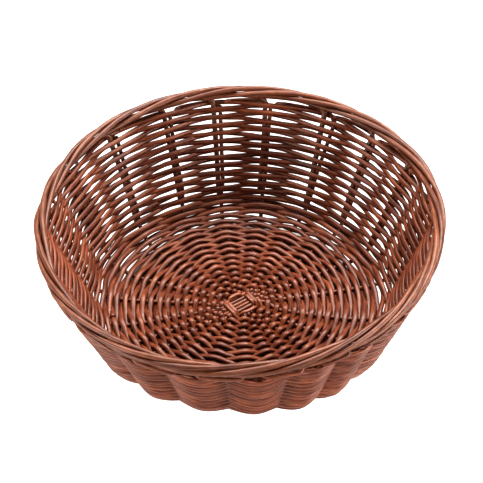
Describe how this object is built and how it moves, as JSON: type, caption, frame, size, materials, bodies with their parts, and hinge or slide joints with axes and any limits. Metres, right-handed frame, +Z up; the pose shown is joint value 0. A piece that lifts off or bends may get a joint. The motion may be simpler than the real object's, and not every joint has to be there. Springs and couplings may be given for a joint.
{
  "type": "woven fruit basket",
  "caption": "Round open basket woven from dyed cane, with a flat base, flared openwork wall and rolled rope border; no handle and no lid.",
  "frame": {"origin": "centre of the base, on the surface that the basket stands on", "axes": "+Z up out of the open mouth; +X and +Y lie in the standing surface, with the first spoke 2.6 degrees from +X, towards -Y"},
  "size_m": [0.2492, 0.2493, 0.08],
  "materials": {
    "stick": "dyed cane, satin",
    "weaver": "dyed cane, satin",
    "stake": "dyed cane, satin"
  },
  "bodies": {
    "root": {"spoke_stick_01": "stick", "spoke_stick_02": "stick", "spoke_stick_03": "stick", "spoke_stick_04": "stick", "spoke_stick_05": "stick", "spoke_stick_06": "stick", "spoke_stick_07": "stick", "spoke_stick_08": "stick", "spoke_stick_09": "stick", "spoke_stick_10": "stick", "spoke_stick_11": "stick", "slath_binder_a": "weaver", "slath_binder_b": "weaver", "base_weaver_01": "weaver", "base_weaver_02": "weaver", "wall_weaver_01": "weaver", "wall_weaver_02": "weaver", "wall_weaver_03": "weaver", "wall_weaver_04": "weaver", "side_stake_01": "stake", "side_stake_02": "stake", "side_stake_03": "stake", "side_stake_04": "stake", "side_stake_05": "stake", "side_stake_06": "stake", "side_stake_07": "stake", "side_stake_08": "stake", "side_stake_09": "stake", "side_stake_10": "stake", "side_stake_11": "stake", "side_stake_12": "stake", "side_stake_13": "stake", "side_stake_14": "stake", "side_stake_15": "stake", "side_stake_16": "stake", "side_stake_17": "stake", "side_stake_18": "stake", "side_stake_19": "stake", "side_stake_20": "stake", "side_stake_21": "stake"}
  },
  "joints": []
}
